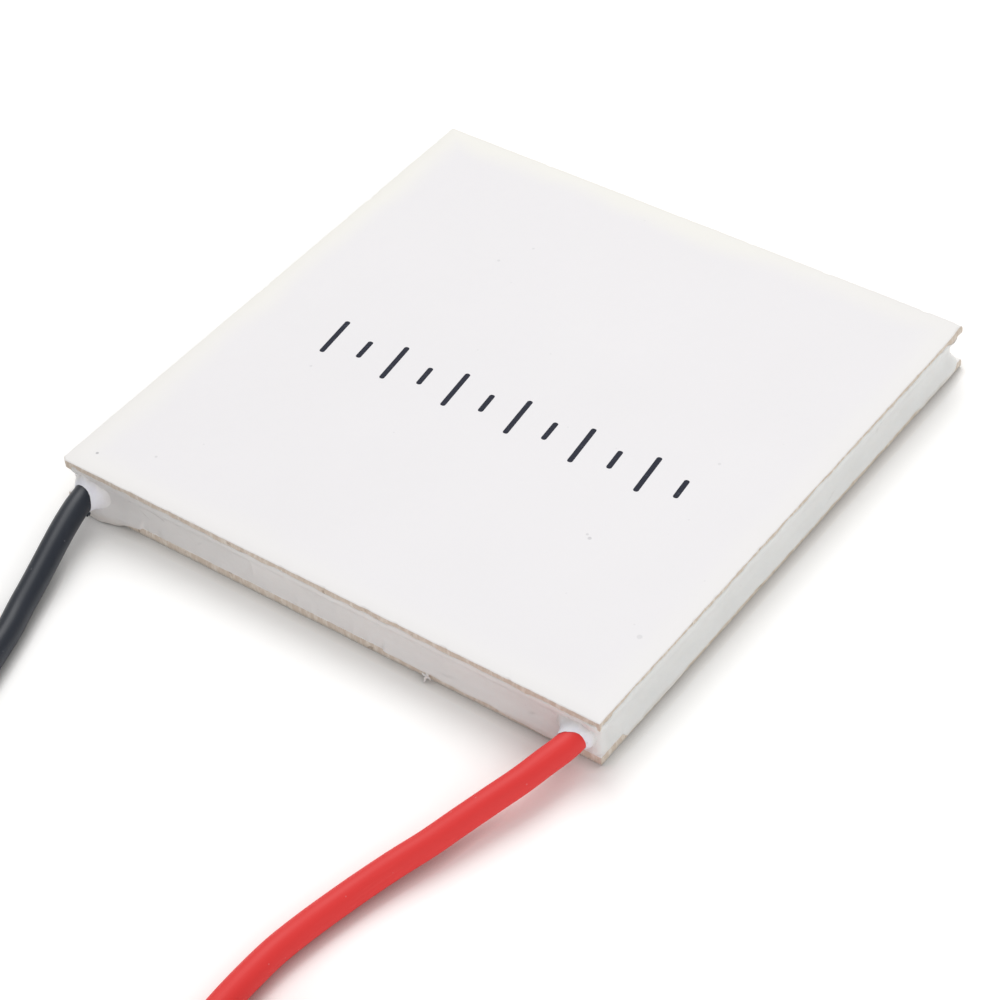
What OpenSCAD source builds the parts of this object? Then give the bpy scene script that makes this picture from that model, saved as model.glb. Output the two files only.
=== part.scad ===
// Thermoelectric cooling module: two ceramic plates with a serpentine of
// P-type and N-type pellets between them, a silicone rim seal and two leads.
// The hot plate lies on the table and the cold plate is on top.
// Origin: centre of the hot plate's outer face. +X runs along the lead side
// from the black lead to the red one, +Y away from the leads, +Z up.

/* [Ceramic plates] */
// Side of both square plates
plate_side = 40; // [36:0.5:60]
// Thickness of one plate
plate_t = 0.65; // [0.5:0.05:1]
// Corner broken off the cold plate above the black lead
corner_break = 0.8; // [0.2:0.1:1.2]
// Edge bevel left where the plates were scribed and snapped
snap_bevel = 0.08; // [0.02:0.02:0.2]

/* [Thermocouples] */
// Pellet places along each side of the grid
grid_n = 16; // [8:2:18]
// Side of a square pellet
pellet_side = 1.4; // [1:0.05:1.6]
// Height of a pellet
pellet_h = 1.4; // [1.3:0.1:3]
// Thickness of a copper tab
tab_t = 0.3; // [0.25:0.05:0.6]
// Copper left round a pellet
tab_rim = 0.1; // [0.05:0.05:0.15]
// Thickness of a solder layer
solder_t = 0.05; // [0.03:0.01:0.1]

/* [Rim seal] */
// Width of the silicone bead round the array
seal_w = 1.2; // [0.8:0.1:1.6]
// Distance of the bead from the plates' edges
seal_setback = 0.1; // [0.05:0.05:0.3]
// Depth of the hollow along the bead's face
seal_hollow = 0.12; // [0.04:0.02:0.3]

/* [Lead exits] */
// Distance of the black lead from the side of the plates
black_edge = 2; // [1.8:0.1:6]
// Distance of the red lead from the side of the plates
red_edge = 1.5; // [1.4:0.1:6]
// Turn of the black lead towards the middle of the plates
black_turn = 12; // [0:1:15]
// Turn of the red lead towards the middle of the plates
red_turn = 6; // [0:1:15]
// Length of insulation held in the bead
lead_grip = 1; // [0.5:0.1:1]
// Straight bare strands past the insulation
strand_run = 0.5; // [0.4:0.05:0.6]
// Radius of the silicone dab round the black lead
black_dab_r = 1.65; // [1.2:0.05:1.7]
// Reach of the dab along the black lead
black_dab_reach = 1.3; // [0.6:0.1:1.6]
// Radius of the silicone dab round the red lead
red_dab_r = 1.5; // [1.2:0.05:1.7]
// Reach of the dab along the red lead
red_dab_reach = 0.7; // [0.4:0.1:1.2]
// Thickness of a dab's rim on the lead
dab_rim = 0.1; // [0.05:0.05:0.3]

/* [Leads] */
// Outside diameter of the insulation
lead_od = 1.6; // [1.2:0.05:1.8]
// Diameter of the stranded conductor
strand_d = 0.76; // [0.5:0.02:1]
// Radius at the middle of a coil's turns
coil_r = 8.6; // [7:0.1:10]
// Bare tinned length at a lead's far end
tip_len = 6; // [3:0.5:10]
// Straight length added to the black lead's free end
black_end_spare = 4; // [0:0.5:8]
// Width of the tape that ties a coil
tie_w = 2; // [1:0.1:4]
// Thickness of the tape
tie_t = 0.2; // [0.1:0.05:0.3]

/* [Fits] */
// Clearance between a lead and the silicone round it
lead_clear = 0.02; // [0.01:0.01:0.05]
// Clearance between the array and the bead
field_clear = 0.1; // [0.05:0.05:0.3]
// Distance from a conductor's end to the first pellet
strand_gap = 0.3; // [0.2:0.05:0.6]
// Room for an arriving lead to swing in its seat on the coil
seat_swing = 0.4; // [0.3:0.05:0.8]

/* [Hidden] */
$fn = 64;
eps = 0.01;
half_side = plate_side / 2;

// Heights, from the table up
gap_h = pellet_h + 2 * (tab_t + solder_t);
hot_tab_z = plate_t;
hot_solder_z = hot_tab_z + tab_t;
pellet_z = hot_solder_z + solder_t;
cold_solder_z = pellet_z + pellet_h;
cold_tab_z = cold_solder_z + solder_t;
cold_plate_z = plate_t + gap_h;
lead_z = plate_t + gap_h / 2;

// Plan of the bead and of the grid inside it
bead_outer = half_side - seal_setback;
bead_inner = bead_outer - seal_w;
tab_w = pellet_side + 2 * tab_rim;
pitch = (2 * (bead_inner - field_clear) - tab_w) / (grid_n - 1);
tab_len = pitch + tab_w;
hollow_r = (pow(gap_h / 2, 2) + pow(seal_hollow, 2)) / (2 * seal_hollow);

// Each lead: side of the module, place of its exit and turn about +Z
black_side = -1;
red_side = 1;
black_exit = [black_side * (half_side - black_edge), -half_side, lead_z];
red_exit = [red_side * (half_side - red_edge), -half_side, lead_z];

// Routes of the leads from their exits: sideways, forwards, and height as a
// share of the exit's height above a lead that lies on the table
black_route = [
    [0, 0, 1], [0.3, -1.4, 1], [0.7, -2.8, 0.93], [1.2, -4.4, 0.75],
    [1.7, -6, 0.5], [2.2, -7.6, 0.27], [2.7, -9.2, 0.09], [3.3, -10.8, 0],
    [3.8, -12.4, 0], [4.3, -14, 0], [4.7, -15.7, 0], [4.9, -17.4, 0],
    [5, -19, 0], [5, -20.3, 0], [5, -21.5, 0]
];
red_route = [
    [0, 0, 1], [-0.1, -1.2, 1], [-0.4, -2.6, 0.97], [-0.8, -4.4, 0.88],
    [-1.4, -6.4, 0.73], [-2, -8.4, 0.56], [-2.6, -10.4, 0.37],
    [-3.3, -12.4, 0.2], [-3.9, -14.4, 0.07], [-4.4, -16.4, 0],
    [-4.8, -18.4, 0], [-5.1, -20.4, 0], [-5.2, -22.4, 0], [-5.2, -24.4, 0],
    [-5.1, -26.4, 0], [-5, -28.4, 0], [-4.9, -30.5, 0], [-4.9, -32.5, 0]
];
// Section of a coil: two turns side by side and one in the groove above
groove = (1 + sqrt(3)) / 2;
coil_top = (groove + 0.5) * lead_od;
coil_outer = coil_r + lead_od;
tube_sides = 8;

// Free end of a lead past its coil: forwards, and height in lead diameters
end_route = [
    [0, groove], [2, groove], [4, groove], [5.6, groove], [6.6, 1.3],
    [7.6, 1.12], [8.8, 0.8], [9.8, 0.58], [10.7, 0.5], [11.5, 0.5]
];

// ---- small helpers ----

function two(n) = n < 10 ? str("0", n) : str(n);

// Middle of the grid's place i along one side
function cell(i) = (i - (grid_n - 1) / 2) * pitch;

// P-type and N-type places alternate like a chessboard's squares
function is_p(c, r) = (c + r) % 2 == 1;

// The two corner places by the leads hold no pellet
function is_lead_corner(c, r) = r == 0 && (c == 0 || c == grid_n - 1);

// Lines up +Z with a lead's way out of the module
module at_exit(exit, side, turn) {
    translate(exit)
        rotate([90, 0, -side * turn])
            children();
}

// ---- ceramic plates ----

module plate_outline(inset, corner) {
    h = half_side - inset;
    polygon([[-h + corner, -h], [h, -h], [h, h], [-h, h], [-h, -h + corner]]);
}

// The snapped edge is a narrow step below the scribed face
module plate(corner) {
    linear_extrude(plate_t - snap_bevel) plate_outline(0, corner);
    translate([0, 0, plate_t - snap_bevel])
        linear_extrude(snap_bevel) plate_outline(snap_bevel, corner);
}

module cold_plate() {
    color("whitesmoke")
        translate([0, 0, cold_plate_z])
            plate(corner_break);
}

module hot_plate() {
    color("ivory")
        translate([0, 0, plate_t])
            mirror([0, 0, 1])
                plate(snap_bevel);
}

// ---- rim seal ----

// Section of the bead: x across it from its inner face, y up the gap
module bead_section() {
    difference() {
        square([seal_w, gap_h]);
        translate([seal_w - seal_hollow + hollow_r, gap_h / 2])
            circle(r = hollow_r, $fn = 180);
    }
}

// Each side is a straight bar, and the corners turn about the inner edge
module bead_ring() {
    for (quarter = [0:3])
        rotate([0, 0, 90 * quarter]) {
            translate([bead_inner, bead_inner, 0])
                rotate([90, 0, 0])
                    linear_extrude(2 * bead_inner) bead_section();
            translate([bead_inner, bead_inner, 0])
                rotate_extrude(angle = 90) bead_section();
        }
}

// Way of one lead through the bead: insulation, then the bare strands
module lead_bore(exit, side, turn) {
    at_exit(exit, side, turn) {
        translate([0, 0, -lead_grip - lead_clear])
            cylinder(r = lead_od / 2 + lead_clear, h = lead_grip + seal_w);
        translate([0, 0, -2 * seal_w])
            cylinder(r = strand_d / 2 + lead_clear, h = 2 * seal_w);
    }
}

module perimeter_seal() {
    color("gainsboro")
        difference() {
            translate([0, 0, plate_t]) bead_ring();
            lead_bore(black_exit, black_side, black_turn);
            lead_bore(red_exit, red_side, red_turn);
        }
}

// A dab narrows from the plates' edges to the lead in a hollow curve
module dab_body(r, reach) {
    r0 = lead_od / 2 + lead_clear;
    r1 = r0 + dab_rim;
    steps = 8;
    curve = [for (i = [0:steps]) let (t = i / steps)
        [r1 + (r - r1) * pow(1 - t, 2), reach * t]];
    rotate_extrude()
        polygon(concat([[r0, 0]], curve, [[r0, reach]]));
}

module dab(exit, side, turn, r, reach) {
    difference() {
        at_exit(exit, side, turn)
            translate([0, 0, -seal_hollow])
                dab_body(r, reach + seal_hollow);
        translate([-half_side, -half_side, 0])
            cube([plate_side, plate_side, cold_plate_z + plate_t]);
    }
}

module black_lead_dab() {
    color("white") dab(black_exit, black_side, black_turn, black_dab_r, black_dab_reach);
}

module red_lead_dab() {
    color("white") dab(red_exit, red_side, red_turn, red_dab_r, red_dab_reach);
}

// ---- copper tabs and solder ----

// A bar that joins place [c, r] to the next one along X or along Y
module bridge(c, r, along_x, w, l, t) {
    size = along_x ? [l, w, t] : [w, l, t];
    at = along_x ? [cell(c + 0.5), cell(r)] : [cell(c), cell(r + 0.5)];
    translate([at[0] - size[0] / 2, at[1] - size[1] / 2, 0])
        cube(size);
}

// Hot side: every column is paired from its front end
module hot_bridges(t) {
    for (c = [0:grid_n - 1], r = [0:2:grid_n - 2])
        bridge(c, r, false, tab_w, tab_len, t);
}

// Cold side: columns are paired one place on, and turn at their ends
module cold_bridges(t) {
    for (c = [0:grid_n - 1], r = [1:2:grid_n - 3])
        bridge(c, r, false, tab_w, tab_len, t);
    for (c = [0:2:grid_n - 2])
        bridge(c, grid_n - 1, true, tab_w, tab_len, t);
    for (c = [1:2:grid_n - 3])
        bridge(c, 0, true, tab_w, tab_len, t);
}

module hot_tabs() {
    color("peru") translate([0, 0, hot_tab_z]) hot_bridges(tab_t);
}

module cold_tabs() {
    color("peru") translate([0, 0, cold_tab_z]) cold_bridges(tab_t);
}

module hot_solder() {
    color("silver") translate([0, 0, hot_solder_z]) hot_bridges(solder_t);
}

module cold_solder() {
    color("silver") translate([0, 0, cold_solder_z]) cold_bridges(solder_t);
}

// ---- pellets ----

module pellet_column(c, p_type) {
    for (r = [0:grid_n - 1])
        if (is_p(c, r) == p_type && !is_lead_corner(c, r))
            translate([cell(c) - pellet_side / 2, cell(r) - pellet_side / 2, pellet_z])
                cube([pellet_side, pellet_side, pellet_h]);
}

module p_pellets(c) {
    color("dimgray") pellet_column(c, true);
}

module n_pellets(c) {
    color("slategray") pellet_column(c, false);
}

// ---- inner ends of the leads ----

strand_r = strand_d / 2;
strand_z = pellet_z + strand_r;
joint_r = tab_w / 2 - tab_rim;
joint_toe = 0.1;
strand_land_y = cell(0) + tab_rim;
strand_end_y = cell(1) - pellet_side / 2 - strand_gap;

// Points of a stripped end: along the lead, then down on to its corner tab
function strand_path(exit, side, turn) = let (
    inward = [side * sin(turn), cos(turn), 0]
) [
    exit + lead_grip * inward,
    exit + (lead_grip + strand_run) * inward,
    [side * -cell(0), strand_land_y, strand_z],
    [side * -cell(0), strand_end_y, strand_z]
];

module black_conductor() {
    color("goldenrod")
        tube(strand_path(black_exit, black_side, black_turn), strand_r);
}

module red_conductor() {
    color("goldenrod")
        tube(strand_path(red_exit, red_side, red_turn), strand_r);
}

// Solder drawn up round the strands, flat on the solder layer below them
module solder_joint(side) {
    long = strand_end_y - strand_land_y - strand_r / 2;
    translate([side * -cell(0), strand_end_y - long / 2, strand_z])
        rotate([90, 0, 0])
            difference() {
                rotate_extrude($fn = 48)
                    polygon([[0, -long / 2], [strand_r + joint_toe, -long / 2],
                             [joint_r, -long / 5], [joint_r, long / 5],
                             [strand_r + joint_toe, long / 2], [0, long / 2]]);
                translate([-tab_w, -strand_r - tab_w, -long])
                    cube([2 * tab_w, tab_w, 2 * long]);
                translate([0, 0, -long])
                    cylinder(r = strand_r + lead_clear, h = 2 * long);
            }
}

module black_solder_joint() {
    color("silver") solder_joint(black_side);
}

module red_solder_joint() {
    color("silver") solder_joint(red_side);
}

// ---- leads ----

function unit(v) = v / norm(v);

function heading(path, i) =
    unit(path[min(i + 1, len(path) - 1)] - path[max(i - 1, 0)]);

// Ring of points square to the path, with one point straight down
function tube_ring(path, i, r) = let (
    ahead = heading(path, i),
    aside = unit(cross(ahead, [0, 0, 1])),
    down = cross(ahead, aside)
) [for (k = [0:tube_sides - 1]) let (a = 360 * k / tube_sides)
    path[i] + r * (cos(a) * down + sin(a) * aside)];

function tube_quads(n) = [
    for (i = [0:n - 2], k = [0:tube_sides - 1]) let (
        a = i * tube_sides + k,
        b = i * tube_sides + (k + 1) % tube_sides
    ) each [[a, b, a + tube_sides], [b, b + tube_sides, a + tube_sides]]
];

module tube(path, r) {
    n = len(path);
    first = [for (k = [tube_sides - 1:-1:0]) k];
    last = [for (k = [0:tube_sides - 1]) (n - 1) * tube_sides + k];
    polyhedron(
        points = [for (i = [0:n - 1]) each tube_ring(path, i, r)],
        faces = concat([first, last], tube_quads(n))
    );
}

// A route's point in the part's frame
function placed(exit, p) =
    [exit[0] + p[0], exit[1] + p[1], lead_od / 2 + p[2] * (exit[2] - lead_od / 2)];

function run_path(exit, side, turn, route) = concat(
    [exit + lead_grip * [side * sin(turn), cos(turn), 0]],
    [for (p = route) placed(exit, p)]
);

// A coil lies beside its lead, which joins the outer turn at a tangent
function coil_centre(exit, side, route) = let (end = placed(exit, route[len(route) - 1]))
    [end[0] + side * (coil_r + lead_od / 2), end[1], 0];

function end_path(centre, side, spare) = let (
    x = centre[0] + side * coil_r,
    last = end_route[len(end_route) - 1]
) concat(
    [for (p = end_route) [x, centre[1] + p[0], p[1] * lead_od]],
    spare > 0 ? [[x, centre[1] + last[0] + spare, last[1] * lead_od]] : []
);

module lead(exit, side, turn, route, spare) {
    tube(run_path(exit, side, turn, route), lead_od / 2);
    tube(end_path(coil_centre(exit, side, route), side, spare), lead_od / 2);
}

module black_lead() {
    color("darkslategray")
        lead(black_exit, black_side, black_turn, black_route, black_end_spare);
}

module red_lead() {
    color("crimson") lead(red_exit, red_side, red_turn, red_route, 0);
}

// ---- coils ----

// Outline of the wound turns, drawn in by g all round
function coil_outline(g) = let (
    bevel = lead_od / 4,
    low = g,
    high = coil_top - g,
    half = lead_od - g,
    shoulder = 0.7 * lead_od
) [
    [coil_r - half + bevel, low], [coil_r + half - bevel, low],
    [coil_r + half, low + bevel], [coil_r + half, shoulder],
    [coil_r + half / 2, high - bevel / 2], [coil_r + half / 4, high],
    [coil_r - half / 4, high], [coil_r - half / 2, high - bevel / 2],
    [coil_r - half, shoulder], [coil_r - half, low + bevel]
];

tie_angle = tie_w / coil_r * 180 / PI;

// The tape's ring round the turns, at the front of the coil
module tie_ring(outer_gap) {
    rotate([0, 0, -90 - tie_angle / 2])
        rotate_extrude(angle = tie_angle)
            difference() {
                polygon(coil_outline(outer_gap));
                polygon(coil_outline(tie_t));
            }
}

// The wound turns, with seats for the arriving lead and for the free end
module wound_lead(side) {
    seat_w = lead_od + 2 * lead_clear;
    difference() {
        rotate_extrude() polygon(coil_outline(0));
        translate([side < 0 ? coil_r - seat_swing : -coil_outer - eps, 0, -eps])
            cube([lead_od + seat_swing + eps, coil_outer, lead_od + lead_clear + eps]);
        translate([side * coil_r - seat_w / 2, 0, coil_top - lead_od - lead_clear])
            cube([seat_w, coil_outer, seat_w]);
        tie_ring(-tie_t);
    }
}

module black_lead_coil() {
    color("darkslategray")
        translate(coil_centre(black_exit, black_side, black_route))
            wound_lead(black_side);
}

module red_lead_coil() {
    color("crimson")
        translate(coil_centre(red_exit, red_side, red_route))
            wound_lead(red_side);
}

module black_coil_tie() {
    color("white")
        translate(coil_centre(black_exit, black_side, black_route))
            tie_ring(0);
}

module red_coil_tie() {
    color("white")
        translate(coil_centre(red_exit, red_side, red_route))
            tie_ring(0);
}

// ---- tinned tips ----

module lead_tip(path) {
    translate(path[len(path) - 1])
        rotate([-90, 0, 0])
            rotate_extrude($fn = 32)
                polygon([[0, 0], [strand_r, 0], [strand_r, tip_len - strand_r],
                         [strand_r * 0.7, tip_len - strand_r * 0.3],
                         [0, tip_len]]);
}

module black_lead_tip() {
    color("silver")
        lead_tip(end_path(coil_centre(black_exit, black_side, black_route),
                          black_side, black_end_spare));
}

module red_lead_tip() {
    color("silver")
        lead_tip(end_path(coil_centre(red_exit, red_side, red_route), red_side, 0));
}

// ---- parts ----

cold_plate();
hot_plate();
perimeter_seal();
cold_tabs();
hot_tabs();
cold_solder();
hot_solder();
for (c = [0:grid_n - 1]) {
    p_pellets(c);
    n_pellets(c);
}
black_conductor();
red_conductor();
black_solder_joint();
red_solder_joint();
black_lead_dab();
red_lead_dab();
black_lead();
red_lead();
black_lead_coil();
red_lead_coil();
black_coil_tie();
red_coil_tie();
black_lead_tip();
red_lead_tip();
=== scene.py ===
from math import atan2, cos, exp, hypot, pi, radians, sin, sqrt
import bpy
import bmesh
from mathutils import Matrix, Vector, noise


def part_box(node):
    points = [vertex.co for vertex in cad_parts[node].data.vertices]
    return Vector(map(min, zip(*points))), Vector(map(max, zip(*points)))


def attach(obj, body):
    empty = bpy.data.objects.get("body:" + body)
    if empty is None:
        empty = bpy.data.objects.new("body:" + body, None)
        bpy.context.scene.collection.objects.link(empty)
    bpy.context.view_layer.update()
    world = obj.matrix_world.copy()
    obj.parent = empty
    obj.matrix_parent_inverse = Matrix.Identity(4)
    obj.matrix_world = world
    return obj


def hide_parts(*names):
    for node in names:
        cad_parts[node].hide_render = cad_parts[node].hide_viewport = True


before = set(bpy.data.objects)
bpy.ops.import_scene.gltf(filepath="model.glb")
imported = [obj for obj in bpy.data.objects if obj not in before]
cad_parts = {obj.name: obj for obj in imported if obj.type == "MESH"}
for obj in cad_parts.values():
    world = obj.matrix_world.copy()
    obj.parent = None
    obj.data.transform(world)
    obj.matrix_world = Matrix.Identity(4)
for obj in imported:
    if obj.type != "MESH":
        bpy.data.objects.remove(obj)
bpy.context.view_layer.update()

mm = 0.001
plateHalf = 20  # half the side of a plate, in mm


def addObject(name, data):
    made = bpy.data.objects.new(name, data)
    bpy.context.scene.collection.objects.link(made)
    return made


# ---- camera ----

camera = {
    "at": (82.016, -102.557, 117.750),  # mm
    "target": (4.872, -8.497, 3.4),
    "roll": -4.6715,  # degrees
    "lens": 101.491,
}


def placeCamera(c):
    data = bpy.data.cameras.new("camera")
    data.sensor_width = 36
    data.lens = c["lens"]
    data.clip_start = 0.005
    data.clip_end = 5
    cam = addObject("camera", data)
    at = Vector(c["at"]) * mm
    turn = (Vector(c["target"]) * mm - at).to_track_quat("-Z", "Y").to_matrix().to_4x4()
    roll = Matrix.Rotation(radians(c["roll"]), 4, "Z")
    cam.matrix_world = Matrix.Translation(at) @ turn @ roll
    bpy.context.scene.camera = cam


placeCamera(camera)


# ---- shader helpers ----

class Val:  # a socket, so that masks and heights read as sums

    def __init__(self, finish, socket):
        self.finish = finish
        self.socket = socket

    def math(self, operation, a, b):
        return self.finish.node("Math", {"operation": operation}, {0: a, 1: b})

    def __add__(self, other):
        return self.math("ADD", self, other)

    def __radd__(self, other):
        return self.math("ADD", other, self)

    def __sub__(self, other):
        return self.math("SUBTRACT", self, other)

    def __rsub__(self, other):
        return self.math("SUBTRACT", other, self)

    def __mul__(self, other):
        return self.math("MULTIPLY", self, other)

    def __abs__(self):
        return self.math("ABSOLUTE", self, 0)

    def __or__(self, other):  # the larger of two masks
        return self.math("MAXIMUM", self, other)


class Finish:  # one material, with every node made by node()

    def __init__(self, name):
        self.material = bpy.data.materials.new(name)
        self.material.use_nodes = True
        self.tree = self.material.node_tree
        self.tree.nodes.clear()

    def find(self, sockets, name):
        if isinstance(name, int):
            return sockets[name]
        return next(s for s in sockets if name in (s.identifier, s.name))

    def node(self, kind, settings=None, sockets=None, out=0):
        made = self.tree.nodes.new("ShaderNode" + kind)
        for name, value in (settings or {}).items():
            setattr(made, name, value)
        for name, value in (sockets or {}).items():
            socket = self.find(made.inputs, name)
            if isinstance(value, Val):
                self.tree.links.new(value.socket, socket)
            elif socket.type == "RGBA":
                socket.default_value = (*value, 1)
            else:
                socket.default_value = value
        return Val(self, self.find(made.outputs, out))

    def point(self):  # place on the piece, in mm
        place = self.node("TexCoord", None, None, "Object")
        return self.node("VectorMath", {"operation": "SCALE"}, {0: place, "Scale": 1 / mm})

    def along(self, size):  # round the lead and along it, in mm
        place = self.node("UVMap", {"uv_map": "route"})
        return self.node("Mapping", None, {"Vector": place, "Scale": size})

    def split(self, vector):
        made = self.node("SeparateXYZ", None, {0: vector})
        sockets = made.socket.node.outputs
        return [Val(self, sockets[i]) for i in range(3)]

    def stretch(self, vector, scale):
        return self.node("VectorMath", {"operation": "MULTIPLY"}, {0: vector, 1: scale})

    def grain(self, vector, size, detail=2, rough=0.5):  # noise with features of that size
        sockets = {"Vector": vector, "Scale": 1 / size, "Detail": detail, "Roughness": rough}
        return self.node("TexNoise", None, sockets)

    def cells(self, vector, size, out="Distance"):
        return self.node("TexVoronoi", None, {"Vector": vector, "Scale": 1 / size}, out)

    def ramp(self, value, low, high):  # 0 below low, 1 above high
        settings = {"interpolation_type": "SMOOTHSTEP"}
        return self.node("MapRange", settings, {"Value": value, "From Min": low, "From Max": high})

    def mix(self, factor, a, b):
        sockets = {"Factor_Float": factor, "A_Color": a, "B_Color": b}
        return self.node("Mix", {"data_type": "RGBA"}, sockets, "Result_Color")

    def tint(self, color, factor):  # colour times a number that varies
        grey = self.node("CombineXYZ", None, {0: factor, 1: factor, 2: factor})
        return self.node("VectorMath", {"operation": "MULTIPLY"}, {0: color, 1: grey})

    def spot(self, flat, x, y, radius):  # 1 in the middle half of the radius, 0 beyond it
        far = self.node("VectorMath", {"operation": "DISTANCE"}, {0: flat, 1: (x, y, 0)}, "Value")
        return 1 - self.ramp(far, radius * 0.5, radius)

    def bump(self, height, depth):  # depth in mm
        return self.node("Bump", None, {"Height": height, "Distance": depth * mm, "Strength": 1.0})

    def surface(self, **sockets):
        named = {name.replace("_", " "): value for name, value in sockets.items()}
        return self.finishWith(self.node("BsdfPrincipled", None, named))

    def finishWith(self, shader):
        out = self.tree.nodes.new("ShaderNodeOutputMaterial")
        self.tree.links.new(shader.socket, out.inputs["Surface"])
        return self.material


# ---- ceramic ----

ceramic = {
    "middle": (0.868, 0.850, 0.863),  # faint lavender in the middle of the face
    "rim": (0.930, 0.915, 0.850),  # creamier towards the edges
    "edge": (0.650, 0.550, 0.455),  # tan of the scribed and snapped edges
    "edgePale": (0.790, 0.720, 0.640),
    "specks": [  # x, y, radius, darkness
        (-18.4, -18.4, 0.13, 0.50), (18.1, -13.3, 0.22, 0.16), (11.2, -8.3, 0.16, 0.30),
        (10.9, -8.1, 0.12, 0.22), (-8.6, 9.8, 0.14, 0.16), (-7.4, 12.0, 0.12, 0.14),
        (14.1, 1.1, 0.14, 0.14), (-15.1, -16.7, 0.12, 0.18), (-12.4, -5.0, 0.12, 0.14),
    ],
}


def ceramicFinish(name, c, specks):
    f = Finish(name)
    p = f.point()
    x, y, z = f.split(p)
    normal = f.node("NewGeometry", None, None, "Normal")
    lying = abs(f.split(normal)[2])
    side = 1 - f.ramp(lying, 0.45, 0.75)
    cloud = f.grain(p, 9, 3)
    mottle = f.grain(p, 1.1, 3, 0.6)
    fromEdge = plateHalf - (abs(x) | abs(y))
    rim = 1 - f.ramp(fromEdge + (cloud - 0.5) * 3.2, 0.25, 2.6)
    face = f.mix(rim * (0.22 + f.ramp(y - x, -14, 26) * 0.6), c["middle"], c["rim"])
    face = f.tint(face, 0.985 + (cloud - 0.5) * 0.035 + (mottle - 0.5) * 0.03)
    dust = 1 - f.ramp(f.cells(p, 2.3), 0.018, 0.034)
    marks = dust * 0.10
    flat = f.stretch(p, (1, 1, 0))
    for sx, sy, radius, dark in specks:
        marks = marks | f.spot(flat, sx, sy, radius) * dark
    face = f.mix(marks, face, (0.20, 0.20, 0.22))
    scribe = f.node("TexWave", {"wave_profile": "SIN"}, {
        "Vector": f.stretch(p, (1, 1, 0)), "Scale": 1.5, "Distortion": 2.0, "Detail": 2.0})
    streak = f.grain(f.stretch(p, (1, 1, 0.35)), 0.35, 3, 0.65)
    edge = f.mix(f.ramp(streak, 0.40, 0.72), c["edge"], c["edgePale"])
    fleck = f.ramp(f.grain(p, 0.55, 2), 0.66, 0.74)
    edge = f.mix((1 - f.ramp(z, 0.02, 0.34)) * 0.55, edge, (0.40, 0.375, 0.320))  # painted shade, darker where the edge meets the table
    edge = f.mix(fleck * 0.55, edge, (0.30, 0.23, 0.17))
    color = f.mix(side, face, edge)
    grit = f.grain(p, 0.06, 3, 0.7)
    height = grit * (0.25 + side * 0.9) + streak * side * 1.5 + scribe * side * 0.25
    rough = 0.46 + (mottle - 0.5) * 0.10 + side * 0.28
    return f.surface(
        Base_Color=color, Roughness=rough, Specular_IOR_Level=0.35,
        Normal=f.bump(height, 0.012))


# ---- silicone ----

silicone = {
    "warm": (0.812, 0.790, 0.775),
    "cool": (0.800, 0.800, 0.785),
    "stain": (0.30, 0.29, 0.28),
    "dab": (0.860, 0.870, 0.925),
}


def sealFinish(c):
    f = Finish("sealSilicone")
    p = f.point()
    x, _, z = f.split(p)
    turn = f.ramp(x, 19.0, 19.9)  # greener on the side turned to +X
    color = f.mix(turn, c["warm"], c["cool"])
    cloud = f.grain(f.stretch(p, (1, 1, 1.6)), 2.4, 3, 0.55)
    color = f.tint(color, 0.90 + f.ramp(x, -18, 4) * 0.09 + (cloud - 0.5) * 0.12)
    under = (1 - f.ramp(z + (cloud - 0.5) * 0.5, 0.30, 0.75)) * 0.30
    color = f.mix(under, color, (0.60, 0.52, 0.43))
    mark = f.node("Attribute", {"attribute_name": "stain"}, None, "Fac")
    dust = 1 - f.ramp(f.cells(p, 0.9), 0.03, 0.07)
    color = f.mix((mark | dust * 0.14) * 0.9, color, c["stain"])
    fine = f.grain(p, 0.16, 3, 0.6)
    height = fine * 0.6 + f.grain(p, 0.7, 2) * 1.4
    rough = 0.42 + (cloud - 0.5) * 0.3
    return f.surface(
        Base_Color=color, Roughness=rough, Specular_IOR_Level=0.4, Subsurface_Weight=0.15,
        Subsurface_Radius=(0.6 * mm, 0.5 * mm, 0.45 * mm), Normal=f.bump(height, 0.02))


def dabFinish(c):
    f = Finish("dabSilicone")
    p = f.point()
    cloud = f.grain(p, 0.8, 3, 0.55)
    near = f.node("Attribute", {"attribute_name": "stain"}, None, "Fac")  # 1 round the lead, 0 at the foot
    fresh = f.mix(f.ramp(cloud, 0.35, 0.7), c["dab"], (0.82, 0.82, 0.88))
    color = f.mix(f.ramp(near + (cloud - 0.5) * 0.3, 0.12, 0.85), f.tint(c["warm"], 0.95), fresh)
    pit = 1 - f.ramp(f.cells(p, 0.8), 0.05, 0.13)
    color = f.mix(pit * 0.25, color, (0.42, 0.42, 0.46))
    height = f.grain(p, 0.22, 2) + cloud * 1.5 - pit * 0.8
    return f.surface(
        Base_Color=color, Roughness=0.34 + (cloud - 0.5) * 0.2, Subsurface_Weight=0.25,
        Subsurface_Radius=(0.6 * mm, 0.6 * mm, 0.7 * mm), Normal=f.bump(height, 0.03))


# ---- leads, tape and metals ----

insulation = {
    "black": {"color": (0.0110, 0.0158, 0.0260), "worn": (0.032, 0.040, 0.056), "rough": 0.43},
    "red": {"color": (0.790, 0.034, 0.032), "worn": (0.850, 0.075, 0.070), "rough": 0.56},
}


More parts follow.
